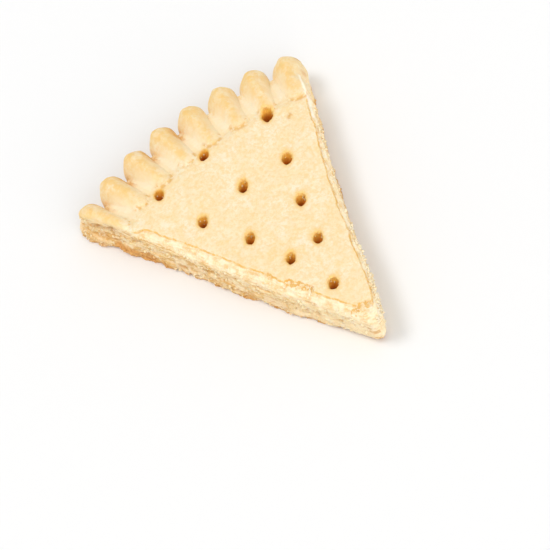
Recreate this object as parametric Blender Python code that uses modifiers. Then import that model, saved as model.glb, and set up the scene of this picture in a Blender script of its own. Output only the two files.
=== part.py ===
"""Shortbread wedge: one eighth of a fluted round, docked with a pin and snapped off along its scored lines.

Metres, +Z up.  The wedge lies on z = 0 with its tip towards -Y and its fluted rim towards +Y, and the
origin is under the middle of its bounding box.  The whole round is turned and fluted first, about its own
centre.  A snap block with two rough sides then keeps one wedge of it, and the docking pins are cut out.
"""

import math

import bmesh
import bpy
from mathutils import Vector, noise

MM = 0.001

# The round that the wedge comes from
ROUND_RADIUS = 88.2 * MM
THICKNESS = 11.0 * MM
SLICES = 8
FLUTES = 65
SHOULDER_RADIUS = 5.0 * MM      # rounding along the top of the rim
FOOT_RADIUS = 0.8 * MM          # rounding where the rim meets the tray
FLUTE_START = 71.0 * MM         # the valleys between the flutes begin here, on the flat top
FLUTE_FULL = 87.0 * MM          # and are at their full depth from here outwards
FLUTE_DEPTH = 4.3 * MM
FLUTE_ROUNDNESS = 1.6           # across a flute: 1 is a sharp roof, 2 a half circle
FLUTE_PHASE = 0.85              # degrees from the wedge's middle line to the nearest valley, to the left
FLATTENING = 0.8 * MM           # the rim falls this short of a true circle at the wedge's corners
END_FLUTE = -4                  # the last flute on the right, counted from the middle line
END_FLUTE_WIDTH = 1.54          # it runs out to the snapped side, wider than the others by this much
SPREAD = 1.4 * MM               # the foot of the rim spreads outwards at the left corner
SPREAD_ANGLES = (17.5, 20.5)    # degrees to the left of the middle line
SPREAD_HEIGHTS = (1.0 * MM, 6.5 * MM)
RIDGE_RISE = 0.3 * MM           # the inner ends of the flutes stand proud of the flat top
RIDGE_RANGE = (72.5 * MM, 75.5 * MM, 79.0 * MM, 85.0 * MM)
COLUMNS_PER_FLUTE = 10

# The two snapped sides.  A setback is how far a side lies inside the ray from the round's centre.
HALF_ANGLE = math.pi / SLICES
SIDES = {"left": +1, "right": -1}
SETBACK = {"left": 1.95 * MM, "right": 2.0 * MM}
SETBACK_AT_TIP = {"left": 2.7 * MM, "right": 0.5 * MM}
TIP_BLEND = (14.0 * MM, 44.0 * MM)      # along the side, from the tip's setback to the ordinary one
RIM_FLARE = {"left": 0.0, "right": 1.5 * MM}    # the right side broke outwards at the rim
FLARE_RANGE = (76.5 * MM, 82.5 * MM)
KNOB = {"left": 0.0, "right": 0.55 * MM}        # and has a small knob on its way there
KNOB_PLACE = (70.0 * MM, 1.5 * MM)              # its middle and half length, along the side
FOOT_STEP = {"left": 0.6 * MM, "right": 0.0}    # the foot stands out under the rim's end
FOOT_STEP_RANGE = (79.0 * MM, 84.0 * MM)
FOOT_STEP_HEIGHT = 3.0 * MM
SCORE_WIDTH = 1.8 * MM          # the scored line left a smooth sloping band along each top edge
SCORE_DEPTH = 2.0 * MM
WAIST = 0.35 * MM               # the broken face is hollow by this much, half way up
ROUGHNESS = 0.42 * MM
ROUGH_LENGTH = 7.0 * MM         # lumps of the broken face, along the side and up it
ROUGH_HEIGHT = 3.0 * MM
SMOOTH_TIP = (9.0 * MM, 18.0 * MM)      # along the side, from no lumps to full lumps
SIDE_STEP = 1.7 * MM
TIP_UNDERCUT = 1.3 * MM         # the foot of the tip broke away by this much on each side
UNDERCUT_HEIGHT = 3.2 * MM
UNDERCUT_RANGE = (12.0 * MM, 32.0 * MM)
NOSE_RADIUS = 2.7 * MM
NOSE_TOP_RADIUS = 1.1 * MM
NOSE_FOOT_RADIUS = 1.6 * MM
NOSE_SEGMENTS = 8
FACE_ROWS = 5                   # rows of faces up a broken side, below its sloping band
BLOCK_OVERLAP = 0.5 * MM        # its sides keep their slope this far past the round's top and bottom
BLOCK_MARGIN = 4.0 * MM         # and it stands this much clear of the round everywhere

# Docking holes: rows at these distances from the round's centre, with these angles off the middle line
PIN_RADIUS = 1.15 * MM
PIN_DEPTH = 8.6 * MM
MOUTH_RADIUS = 1.75 * MM
MOUTH_DEPTH = 1.1 * MM
PIN_SIDES = 16
HOLE_ROWS = (
    (21.7 * MM, (1.8,)),
    (34.0 * MM, (6.4, -6.4)),
    (45.4 * MM, (9.0, -8.9)),
    (57.4 * MM, (12.3, 0.2, -11.3)),
    (71.2 * MM, (12.3, 1.3, -12.3)),
)
WIDE_HOLE = (71.2 * MM, -12.3)  # this pin dragged, and left a wider hole
WIDE_FACTOR = 1.3

CRUST_COLOUR = (0.93, 0.76, 0.47, 1.0)


def clear_scene():
    for old in list(bpy.data.objects):
        bpy.data.objects.remove(old, do_unlink=True)


def new_collection(name):
    collection = bpy.data.collections.new(name)
    bpy.context.scene.collection.children.link(collection)
    return collection


def smooth(low, high, value):
    """0 below low, 1 above high, and an even curve between."""
    share = min(max((value - low) / (high - low), 0.0), 1.0)
    return share * share * (3.0 - 2.0 * share)


def arc(centre, reach, drop, start, end, steps):
    """Points on an ellipse's arc, as (radius, height) pairs, between angles in degrees."""
    points = []
    for step in range(steps + 1):
        angle = math.radians(start + (end - start) * step / steps)
        points.append((centre[0] + reach * math.cos(angle), centre[1] + drop * math.sin(angle)))
    return points


def split_bent_faces(bm):
    """Make triangles of the curved sides, so that every face is truly flat; the flat ends stay whole."""
    bent = [face for face in bm.faces if len(face.verts) == 4]
    bmesh.ops.triangulate(bm, faces=bent)


# --- the fluted round ---------------------------------------------------------------------------------

def rim_profile():
    """Half a section through the round, from its centre on top, over the rim, to its centre below."""
    shoulder = (ROUND_RADIUS - SHOULDER_RADIUS, THICKNESS - SHOULDER_RADIUS)
    foot = (ROUND_RADIUS - FOOT_RADIUS, FOOT_RADIUS)
    flat_steps = 5
    points = [(0.0, THICKNESS)]
    for step in range(flat_steps):
        share = step / flat_steps
        points.append((FLUTE_START + (shoulder[0] - FLUTE_START) * share, THICKNESS))
    points += arc(shoulder, SHOULDER_RADIUS, SHOULDER_RADIUS, 90, 0, 7)
    points += arc(foot, FOOT_RADIUS, FOOT_RADIUS, 0, -90, 4)
    points.append((0.0, 0.0))
    return points


def rim_normal(radius, height):
    """The way out of the plain rim at a point of its section, as (outwards, upwards)."""
    out = radius - (ROUND_RADIUS - SHOULDER_RADIUS)
    up = height - (THICKNESS - SHOULDER_RADIUS)
    if out <= 0.0:
        return (0.0, 1.0)
    if up <= 0.0:
        return (1.0, 0.0)
    length = math.hypot(out, up)
    return (out / length, up / length)


def valley(x, y):
    """0 on a flute's ridge and 1 in the crease beside it."""
    turn = (math.atan2(-x, y) - math.radians(FLUTE_PHASE)) * FLUTES / (2.0 * math.pi)
    number = max(math.floor(turn), END_FLUTE)
    side = turn - number - 0.5
    off_ridge = abs(side) * 2.0
    if number == END_FLUTE and side < 0.0:
        off_ridge = min(off_ridge / END_FLUTE_WIDTH, 1.0)
    return 1.0 - max(1.0 - off_ridge ** FLUTE_ROUNDNESS, 0.0) ** (1.0 / FLUTE_ROUNDNESS)


def corner_spread(x, y, height):
    """How far the rim's foot spreads outwards here."""
    turned = math.degrees(math.atan2(-x, y))
    return SPREAD * smooth(*SPREAD_ANGLES, turned) * (1.0 - smooth(*SPREAD_HEIGHTS, height))


def flute(bm):
    """Press the valleys into the turned round, square to its surface."""
    for vertex in bm.verts:
        x, y, height = vertex.co
        radius = math.hypot(x, y)
        if radius < FLUTE_START:
            continue
        low, full, falling, gone = RIDGE_RANGE
        rise = RIDGE_RISE * smooth(low, full, radius) * (1.0 - smooth(falling, gone, radius))
        depth = (FLUTE_DEPTH * smooth(FLUTE_START, FLUTE_FULL, radius) + rise) * valley(x, y) - rise
        out, up = rim_normal(radius, height)
        corner = min(abs(math.atan2(x, y)) / HALF_ANGLE, 1.0)
        flattened = FLATTENING * corner ** 2 * smooth(FLUTE_START, ROUND_RADIUS, radius)
        flattened -= corner_spread(x, y, height) * smooth(FLUTE_START, FLUTE_FULL, radius)
        scale = (radius - depth * out - flattened) / radius
        vertex.co = Vector((x * scale, y * scale, height - depth * up))


def fluted_round():
    bm = bmesh.new()
    verts = [bm.verts.new((0.0, radius, height)) for radius, height in rim_profile()]
    edges = [bm.edges.new(pair) for pair in zip(verts, verts[1:])]
    steps = FLUTES * COLUMNS_PER_FLUTE
    bmesh.ops.spin(bm, geom=verts + edges, cent=(0, 0, 0), axis=(0, 0, 1),
                   angle=2.0 * math.pi, steps=steps, use_merge=True)
    bmesh.ops.remove_doubles(bm, verts=bm.verts, dist=0.001 * MM)
    flute(bm)
    flat_angle = math.radians(0.01)
    bmesh.ops.dissolve_limit(bm, angle_limit=flat_angle, verts=bm.verts, edges=bm.edges)
    split_bent_faces(bm)
    bmesh.ops.recalc_face_normals(bm, faces=bm.faces)
    return mesh_object("shortbread_wedge", bm)


# --- the snap block -----------------------------------------------------------------------------------

def side_setback(side, along, height):
    """How far a snapped side lies inside its ray, at a place along it and a height."""
    blend = smooth(TIP_BLEND[0], TIP_BLEND[1], along)
    setback = SETBACK_AT_TIP[side] + (SETBACK[side] - SETBACK_AT_TIP[side]) * blend
    setback -= RIM_FLARE[side] * smooth(FLARE_RANGE[0], FLARE_RANGE[1], along)
    setback -= KNOB[side] * math.exp(-((along - KNOB_PLACE[0]) / KNOB_PLACE[1]) ** 2)
    setback -= (FOOT_STEP[side] * smooth(FOOT_STEP_RANGE[0], FOOT_STEP_RANGE[1], along)
                * (1.0 - smooth(0.4 * FOOT_STEP_HEIGHT, FOOT_STEP_HEIGHT, height)))
    band_foot = THICKNESS - SCORE_DEPTH
    if height >= band_foot:
        return setback + SCORE_WIDTH * (height - band_foot) / SCORE_DEPTH
    across = height / band_foot
    hollow = WAIST * math.sin(math.pi * across)
    low_share = max(1.0 - height / UNDERCUT_HEIGHT, 0.0)
    hollow += TIP_UNDERCUT * low_share ** 1.5 * (1.0 - smooth(UNDERCUT_RANGE[0], UNDERCUT_RANGE[1], along))
    place = Vector((along / ROUGH_LENGTH, height / ROUGH_HEIGHT, 10.0 * SIDES[side]))
    lump = ROUGHNESS * noise.noise(place) + 0.5 * ROUGHNESS * noise.noise(place * 2.3)
    fade = smooth(0.0, 0.15, 1.0 - across) * smooth(SMOOTH_TIP[0], SMOOTH_TIP[1], along)
    return setback + hollow + lump * fade


def side_normal(side):
    """The way out of a side, flat on the table: left is -X and right is +X."""
    return Vector((-SIDES[side] * math.cos(HALF_ANGLE), -math.sin(HALF_ANGLE), 0.0))


def side_direction(side):
    """From the round's centre out along a side."""
    return Vector((-SIDES[side] * math.sin(HALF_ANGLE), math.cos(HALF_ANGLE), 0.0))


def nose_circle(height):
    """Centre and radius of the rounded tip at a height, touching both sides."""
    band_foot = THICKNESS - SCORE_DEPTH
    radius = NOSE_RADIUS
    if height > band_foot:
        radius += (NOSE_TOP_RADIUS - NOSE_RADIUS) * (height - band_foot) / SCORE_DEPTH
    foot_share = 1.0 - smooth(0.0, 3.0 * MM, height)
    radius += (NOSE_FOOT_RADIUS - NOSE_RADIUS) * foot_share
    left = side_setback("left", 0.0, height) + radius
    right = side_setback("right", 0.0, height) + radius
    across = (left - right) / (2.0 * math.cos(HALF_ANGLE))
    outwards = (left + right) / (2.0 * math.sin(HALF_ANGLE))
    return Vector((across, outwards, 0.0)), radius


def side_point(side, along, height):
    point = side_direction(side) * along - side_normal(side) * side_setback(side, along, height)
    return (point.x, point.y)


def block_outline(height):
    """The snap block's outline at a height: in along the left side, round the tip, out along the right."""
    centre, radius = nose_circle(height)
    far = (ROUND_RADIUS + BLOCK_MARGIN) / math.cos(HALF_ANGLE)
    near = {side: centre.dot(side_direction(side)) for side in SIDES}
    steps = round((far - NOSE_RADIUS) / SIDE_STEP)
    points = []
    for step in range(steps + 1):
        points.append(side_point("left", far + (near["left"] - far) * step / steps, height))
    for step in range(1, NOSE_SEGMENTS):
        angle = math.pi + HALF_ANGLE + (math.pi - 2.0 * HALF_ANGLE) * step / NOSE_SEGMENTS
        points.append((centre.x + radius * math.cos(angle), centre.y + radius * math.sin(angle)))
    for step in range(steps + 1):
        points.append(side_point("right", near["right"] + (far - near["right"]) * step / steps, height))
    return points


def block_levels():
    """Pairs of a level and the height whose outline it takes; the ends stand clear of the round."""
    low = -BLOCK_OVERLAP
    high = THICKNESS + BLOCK_OVERLAP
    band_foot = THICKNESS - SCORE_DEPTH
    heights = [low + (band_foot - low) * step / FACE_ROWS for step in range(FACE_ROWS + 1)] + [high]
    return [(-BLOCK_MARGIN, low)] + [(height, height) for height in heights] + [(high + BLOCK_MARGIN, high)]


def grown_from(vertex, fresh):
    """The new vertex that an extrusion joined to an old one."""
    neighbours = [edge.other_vert(vertex) for edge in vertex.link_edges]
    return next(neighbour for neighbour in neighbours if neighbour in fresh)


def snap_block():
    """A loft through the outlines, from below the round to above it."""
    bm = bmesh.new()
    edges = []
    for level, height in block_levels():
        outline = block_outline(height)
        if not edges:
            loop = [bm.verts.new((x, y, level)) for x, y in outline]
            edges = [bm.edges.new(pair) for pair in zip(loop, loop[1:] + loop[:1])]
            continue
        grown = bmesh.ops.extrude_edge_only(bm, edges=edges)["geom"]
        fresh = {item for item in grown if isinstance(item, bmesh.types.BMVert)}
        loop = [grown_from(vertex, fresh) for vertex in loop]
        for vertex, (x, y) in zip(loop, outline):
            vertex.co = (x, y, level)
        edges = [item for item in grown if isinstance(item, bmesh.types.BMEdge)
                 and all(v in fresh for v in item.verts)]
    open_edges = [edge for edge in bm.edges if edge.is_boundary]
    bmesh.ops.holes_fill(bm, edges=open_edges, sides=0)
    split_bent_faces(bm)
    bmesh.ops.recalc_face_normals(bm, faces=bm.faces)
    return mesh_object("snap_block", bm)


# --- the docking holes --------------------------------------------------------------------------------

def pin_profile():
    """Half a section through a docking pin and the mouth that it leaves, from its top to its tip."""
    top = THICKNESS + BLOCK_MARGIN
    lip = MOUTH_RADIUS - PIN_RADIUS
    points = [(0.0, top), (MOUTH_RADIUS, top)]
    points += arc((MOUTH_RADIUS, THICKNESS - MOUTH_DEPTH), -lip, MOUTH_DEPTH, 90, 0, 3)
    tip = (0.0, THICKNESS - PIN_DEPTH + PIN_RADIUS)
    points += arc(tip, PIN_RADIUS, PIN_RADIUS, 0, -90, 2)
    return points


def docking_pin(name, distance, angle, factor):
    """One pin as a turned profile, standing where it goes in."""
    mesh = bpy.data.meshes.new(name)
    verts = [(radius, 0.0, height) for radius, height in pin_profile()]
    mesh.from_pydata(verts, [(i, i + 1) for i in range(len(verts) - 1)], [])
    pin = bpy.data.objects.new(name, mesh)
    turn = pin.modifiers.new("turn", "SCREW")
    turn.steps = PIN_SIDES
    turn.render_steps = PIN_SIDES
    turn.use_merge_vertices = True
    turn.merge_threshold = 0.001 * MM
    turn.use_normal_calculate = True
    turned = math.radians(angle)
    pin.location = (-distance * math.sin(turned), distance * math.cos(turned), 0.0)
    pin.scale = (factor, factor, 1.0)
    return pin


def docking_pins():
    pins = []
    for distance, angles in HOLE_ROWS:
        for angle in angles:
            factor = WIDE_FACTOR if (distance, angle) == WIDE_HOLE else 1.0
            pins.append(docking_pin(f"docking_pin_{len(pins) + 1}", distance, angle, factor))
    return pins


# --- the wedge ----------------------------------------------------------------------------------------

def mesh_object(name, bm):
    mesh = bpy.data.meshes.new(name)
    bm.to_mesh(mesh)
    bm.free()
    return bpy.data.objects.new(name, mesh)


def baked_crust():
    material = bpy.data.materials.new("baked_shortbread")
    material.use_nodes = True
    shader = material.node_tree.nodes["Principled BSDF"]
    shader.inputs["Base Color"].default_value = CRUST_COLOUR
    shader.inputs["Roughness"].default_value = 0.75
    shader.inputs["Metallic"].default_value = 0.0
    return material


def add_boolean(target, name, operation):
    cut = target.modifiers.new(name, "BOOLEAN")
    cut.operation = operation
    cut.solver = "EXACT"
    return cut


def centre_on_floor(target, anchor):
    """Move the round's centre so that the wedge's box stands on the origin."""
    bpy.context.view_layer.update()
    box = target.evaluated_get(bpy.context.evaluated_depsgraph_get()).bound_box
    for axis in (0, 1):
        low = min(corner[axis] for corner in box)
        high = max(corner[axis] for corner in box)
        anchor.location[axis] = -(low + high) / 2.0
    bpy.context.view_layer.update()


def main():
    clear_scene()
    biscuit = new_collection("shortbread_biscuit")
    cutters = new_collection("cutters")
    pin_cutters = bpy.data.collections.new("docking_pins")
    cutters.children.link(pin_cutters)

    round_centre = bpy.data.objects.new("round_centre", None)
    biscuit.objects.link(round_centre)
    wedge = fluted_round()
    biscuit.objects.link(wedge)
    block = snap_block()
    cutters.objects.link(block)
    pins = docking_pins()
    for pin in pins:
        pin_cutters.objects.link(pin)
    for piece in [wedge, block] + pins:
        piece.parent = round_centre
    for cutter in [block] + pins:
        cutter.hide_render = True
        cutter.display_type = "WIRE"

    add_boolean(wedge, "snap", "INTERSECT").object = block
    dock = add_boolean(wedge, "dock", "DIFFERENCE")
    dock.operand_type = "COLLECTION"
    dock.collection = pin_cutters
    wedge.data.materials.append(baked_crust())
    wedge.data.shade_smooth()
    wedge.data.set_sharp_from_angle(angle=math.radians(35))
    centre_on_floor(wedge, round_centre)


main()
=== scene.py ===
"""Looks of the shortbread wedge: one biscuit with fluted rim, docked top and two snapped sides.

The biscuit is a solid described by a signed field in millimetres, measured from the centre of the whole
round that it was snapped from.  A mesh is wrapped round that solid, and its surface marks (broken crumb,
skin, flutes, pores, toasting, and where shade and light are painted) are stored on the vertices for the
procedural material to read.
"""
import math

import bmesh
import bpy
import numpy as np
from mathutils import Matrix, Quaternion, Vector


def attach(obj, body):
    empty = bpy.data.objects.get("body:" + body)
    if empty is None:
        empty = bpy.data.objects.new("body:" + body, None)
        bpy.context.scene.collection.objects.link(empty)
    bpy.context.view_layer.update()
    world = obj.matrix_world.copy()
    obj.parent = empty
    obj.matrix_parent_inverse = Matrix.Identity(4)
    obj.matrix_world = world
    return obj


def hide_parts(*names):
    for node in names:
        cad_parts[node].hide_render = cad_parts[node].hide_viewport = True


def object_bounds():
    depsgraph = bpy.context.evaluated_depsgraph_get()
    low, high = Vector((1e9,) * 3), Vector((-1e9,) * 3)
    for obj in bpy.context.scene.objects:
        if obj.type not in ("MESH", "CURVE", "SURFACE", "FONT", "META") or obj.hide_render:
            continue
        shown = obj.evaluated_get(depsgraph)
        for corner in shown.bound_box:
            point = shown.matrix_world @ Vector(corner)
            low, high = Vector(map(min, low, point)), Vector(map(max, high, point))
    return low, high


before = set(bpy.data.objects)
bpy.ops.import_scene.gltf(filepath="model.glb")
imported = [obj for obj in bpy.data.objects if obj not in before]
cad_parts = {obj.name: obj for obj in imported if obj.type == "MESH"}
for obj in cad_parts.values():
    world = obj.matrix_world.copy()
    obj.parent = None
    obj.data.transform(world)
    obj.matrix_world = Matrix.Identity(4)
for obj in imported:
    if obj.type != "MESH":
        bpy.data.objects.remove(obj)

CAD_LOW, CAD_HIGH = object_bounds()
MM = 0.001

# The round and its flutes, mostly as in the part
ROUND_RADIUS = 88.2
THICKNESS = 11.0
FLUTES = 65
SHOULDER_RADIUS = 5.0
FOOT_RADIUS = 0.8
FLUTE_RANGE = (71.0, 87.0)      # the valleys deepen between these distances from the round's centre
FLUTE_DEPTH = 4.3
FLUTE_ROUNDNESS = 1.6
FLUTE_PHASE = 0.85              # degrees from the middle line to the nearest floor between two flutes
FLATTENING = 0.8                # the rim falls this short of a true circle at the wedge's corners
END_FLUTE = -4                  # the last flute on the right runs out to the snapped side
END_FLUTE_WIDTH = 1.54
SPREAD = 1.4                    # the rim's foot spreads outwards at the left corner
SPREAD_ANGLES = (17.5, 20.5)
SPREAD_HEIGHTS = (1.0, 6.5)
TONGUE_START = 72.2             # each flute's inner end is a rounded tongue that lies on the flat top
TONGUE_SHIFT = 0.7              # the tongues start this much further in or out than that
TONGUE_HALF_WIDTH = 2.25
TONGUE_END = 2.3                # length of the rounded end
TONGUE_RISE = 0.46
TONGUE_FADE = (79.0, 85.0)
TONGUE_FULL = 85.5              # from here outwards a tongue fills its whole share of the rim
TONGUE_ROUNDNESS = 1.7
TONGUE_SOFTNESS = 0.35

# The snapped sides, mostly as in the part
HALF_ANGLE = math.pi / 8
SIDES = {"left": +1, "right": -1}
SETBACK = {"left": 1.95, "right": 2.0}
SETBACK_AT_TIP = {"left": 2.7, "right": 0.5}
TIP_BLEND = (14.0, 44.0)
RIM_FLARE = {"left": 0.0, "right": 1.5}
FLARE_RANGE = (76.5, 82.5)
KNOB = 0.55                     # a small knob on the right side
KNOB_PLACE = (70.0, 1.5)
FOOT_STEP = 0.6                 # the foot stands out at the rim's end of the left side
FOOT_STEP_RANGE = (79.0, 84.0)
FOOT_STEP_HEIGHTS = (1.2, 3.0)
BAND_FOOT = 9.0                 # the smooth sloping band lies above this height
BAND_WIDTH = 1.8
WAIST = 0.35                    # the face is hollow by this much, half way up
FACE_INSET = 0.35               # the rough face's middle level lies inside its outline, its lumps reach it
TIP_UNDERCUT = 1.3              # the foot of the tip broke away
UNDERCUT_HEIGHT = 3.2
UNDERCUT_RANGE = (12.0, 32.0)
NOSE_RADIUS = 2.7
EAR_UNDERCUT = 1.3              # the last flute's foot lies this far inside its top
EAR_ROUNDING = 6.0              # and its upper corner is rounded over
CORNER_ROUNDING = 1.0
FLOOR_ROUNDING = 0.35
RECESS_DEPTH = 1.3              # the hollow above the base, at the left cut's outer end
BASE_SPREAD = 0.75              # the baked base stands out under it

# The skin that overhangs the band
SKIN_STEP = 0.42                # from the skin down to the top of the band
SKIN_EDGE = {"left": 1.85, "right": 1.25}       # the skin ends this far inside the biscuit's outline
SKIN_TIP = 11.6                 # and this far from the round's centre at the tip

# Docking holes
PIN_RADIUS = 1.0
PIN_DEPTH = 8.6
MOUTH = 0.6                     # rounding of a hole's mouth
MOUTH_LEAN = 0.75               # the mouths are dragged out to one side
MOUTH_STRETCH = 0.5
LEAN_X, LEAN_Y = math.cos(math.radians(59.0)), math.sin(math.radians(59.0))
HOLE_ROWS = (                   # distance from the round's centre, and degrees left of the middle line
    (21.7, (1.8,)),
    (34.0, (6.4, -6.4)),
    (45.4, (9.0, -8.9)),
    (57.4, (12.3, 0.2, -11.3)),
    (71.2, (12.3, 1.3, -12.3)),
)
WIDE_HOLE = (71.2, -12.3)       # this one is wider
WIDE_FACTOR = 1.25

# Places where the skin is chipped off, beside its left edge and at the tip: two ends in x, y, and half
# the width
CHIPS = (
    ((-7.6, 29.6), (-4.9, 24.6), 0.75),
    ((-9.9, 34.2), (-9.3, 33.0), 0.45),
    ((-1.7, 13.2), (1.7, 12.6), 0.85),
)
SLIT = ((19.3, 66.4), (18.4, 65.2), 0.1)                   # its two ends and half its width
# The pale torn edge on the last flute is partly a painted highlight.
PALE_LINE = ((27.4, 74.4), (25.1, 67.6), (22.9, 62.6))     # the skin's torn edge on the last flute: x, y
SPECKS = ((15.9, 55.2, 0.3), (7.1, 72.4, 0.4), (-12.4, 62.0, 0.3))     # dark specks: x, y and size
TOASTED = ((29.3, 75.3, 1.3), (30.0, 79.5, 1.0))           # browner places on the last flute: x, y and size

# Where the wedge sits inside its CAD box: the tip's distance from the round's centre, and the round's
# centre from the box's middle line
TIP_DISTANCE = 8.536
CENTRE_ASIDE = 0.188

# The mesh and the loose crumbs
VOXEL = 0.24
COARSE = 4                      # voxels per step of the search for the surface
BAND = 1.9                      # mm on each side of the rough surface that are worked out in full
JUST_INSIDE = 0.02              # how deep a filled grid point lies under the surface
MOST_TRIANGLES = 190000
CRUMBS = 560
CRUMB_SIZE = (0.14, 0.40)       # from the smallest radius to the largest
CRUMB_WIDTH = (0.65, 1.0)       # of its radius
CRUMB_HEIGHT = (0.55, 0.9)
CRUMB_RAISE = 0.35              # a crumb's middle lies this much of its least radius above the surface
HOLE_GRAINS = 46
GRAIN_SIZE = (0.16, 0.28)
# A hole's colour holds painted shade and a painted glow of bounced light, and its grains take this share of
# it.
GRAIN_TINT = 0.4                # how much of a hole's own colour its grains take
LATTICE = 64                    # the noise repeats after so many lumps
FAR = 9.0                       # a field value well away from any surface


# --- noise ---

tables = {}


def lattice(seed):
    if seed not in tables:
        values = np.random.default_rng(seed).uniform(-1.0, 1.0, LATTICE ** 3)
        tables[seed] = values.astype(np.float32)
    return tables[seed]


def noise(seed, x, y, z):
    """Smooth random values between -1 and 1, one lump to a unit, that repeat every 64 units."""
    table = lattice(seed)
    cells, parts = [], []
    for value in (x, y, z):
        floor = np.floor(value)
        part = (value - floor).astype(np.float32)
        cells.append(floor.astype(np.int32))
        parts.append(part * part * part * (part * (part * 6.0 - 15.0) + 10.0))
    low = [cell & (LATTICE - 1) for cell in cells]
    high = [(cell + 1) & (LATTICE - 1) for cell in cells]
    total = 0.0
    for a in (0, 1):
        row_a = (high if a else low)[0] * (LATTICE * LATTICE)
        share_a = parts[0] if a else 1.0 - parts[0]
        for b in (0, 1):
            row_b = row_a + (high if b else low)[1] * LATTICE
            share_b = share_a * (parts[1] if b else 1.0 - parts[1])
            total = total + share_b * (1.0 - parts[2]) * table[row_b + low[2]]
            total = total + share_b * parts[2] * table[row_b + high[2]]
    return total


def rough(seed, x, y, z, octaves, gain=0.5):
    """Noise with finer and finer lumps on it, each finer set turned a little."""
    total, strength = 0.0, 1.0
    for octave in range(octaves):
        total = total + strength * noise(seed + octave, x, y, z)
        x, y, z = (2.03 * (0.80 * x - 0.60 * y), 2.03 * (0.48 * x + 0.64 * y - 0.60 * z),
                   2.03 * (0.36 * x + 0.48 * y + 0.80 * z))
        strength *= gain
    return total


def smooth(low, high, value):
    share = np.clip((value - low) / (high - low), 0.0, 1.0)
    return share * share * (3.0 - 2.0 * share)


def window(value, rise, fall, most=1.0):
    """0 outside a stretch and most inside it, smooth on the way in and out."""
    return most * smooth(*rise, value) * (1.0 - smooth(*fall, value))


def soft_max(a, b, radius):
    """The larger of two fields, with the edge between them rounded over."""
    overlap = np.maximum(radius - np.abs(a - b), 0.0) / radius
    return np.maximum(a, b) + overlap * overlap * radius * 0.25


# --- the solid ---

def flute_share(radius, turn_angle):
    """0 in the floor between two flutes to 1 on a ridge, the flute's own wobble, and the place across it."""
    turn = (turn_angle - math.radians(FLUTE_PHASE)) * FLUTES / (2.0 * math.pi)
    number = np.maximum(np.floor(turn), END_FLUTE)
    wobble = noise(11, number * 1.7, 0.5 + 0.0 * number, 0.5 + 0.0 * number)
    side = turn - number - 0.5
    side = np.where((number == END_FLUTE) & (side < 0.0), np.maximum(side / END_FLUTE_WIDTH, -0.5), side)
    across = np.abs(side) * 2.0
    start = TONGUE_START + TONGUE_SHIFT * wobble
    pitch = 2.0 * math.pi * radius / FLUTES
    spread = np.clip((radius - start - 1.0) / (TONGUE_FULL - start - 1.0), 0.0, 1.0) ** 1.6
    half = (TONGUE_HALF_WIDTH + 0.25 * wobble) / (0.5 * pitch)
    width = half + (1.0 - half) * spread
    inner = np.clip((radius - start) / TONGUE_END, 0.0, 1.0)
    width = width * np.sqrt(np.maximum(1.0 - (1.0 - inner) ** 2, 1e-6))
    reach = np.minimum(across / np.maximum(width, 1e-3), 1.0)
    power = TONGUE_ROUNDNESS + (FLUTE_ROUNDNESS - TONGUE_ROUNDNESS) * spread
    power = power - 0.3 * spread * np.clip(side * 6.0, -1.0, 1.0)
    softness = 1.0 / power + TONGUE_SOFTNESS * (1.0 - spread)
    return np.maximum(1.0 - reach ** power, 0.0) ** softness, wobble, side


def rim_normal(radius, height):
    out = radius - (ROUND_RADIUS - SHOULDER_RADIUS)
    up = height - (THICKNESS - SHOULDER_RADIUS)
    corner_out, corner_up = np.maximum(out, 0.0), np.maximum(up, 0.0)
    length = np.maximum(np.hypot(corner_out, corner_up), 1e-4)
    flat = out <= 0.0
    return np.where(flat, 0.0, corner_out / length), np.where(flat, 1.0, corner_up / length)


def plain_round(radius, height):
    """Signed distance to the turned round without flutes."""
    out = radius - (ROUND_RADIUS - SHOULDER_RADIUS)
    up = height - (THICKNESS - SHOULDER_RADIUS)
    corner = np.hypot(out, up) - SHOULDER_RADIUS
    body = np.where((out > 0.0) & (up > 0.0), corner, np.maximum(radius - ROUND_RADIUS, height - THICKNESS))
    foot_out = radius - (ROUND_RADIUS - FOOT_RADIUS)
    foot = np.hypot(foot_out, height - FOOT_RADIUS) - FOOT_RADIUS
    return np.where((foot_out > 0.0) & (height < FOOT_RADIUS), foot, body)


def top_unevenness(x, y):
    flat = np.zeros_like(x)
    waves = 0.09 * noise(21, x / 13.0, y / 13.0, flat) + 0.045 * noise(22, x / 4.5, y / 4.5, flat)
    radius = np.hypot(x, y)
    trough = window(radius, (66.0, 71.5), (73.0, 77.0), 0.16)
    on_rim = smooth(71.0, 74.0, radius)
    wrinkles = (0.03 + 0.07 * on_rim) * rough(23, x / 1.7, y / 1.7, flat, 3, 0.6)
    near_ends = window(radius, (68.5, 71.5), (75.0, 79.0))
    cracks = 0.10 * near_ends * np.maximum(1.0 - 5.0 * np.abs(rough(24, x / 2.2, y / 2.2, flat, 2)), 0.0)
    return waves + wrinkles - 0.05 - trough - cracks


def floor_depth(radius):
    """How far the floor between two flutes lies below the plain round."""
    dip = smooth(FLUTE_RANGE[0], FLUTE_RANGE[0] + 3.0, radius)
    return FLUTE_DEPTH * (0.10 * dip + 0.90 * smooth(FLUTE_RANGE[0] + 0.5, FLUTE_RANGE[1], radius))


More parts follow.
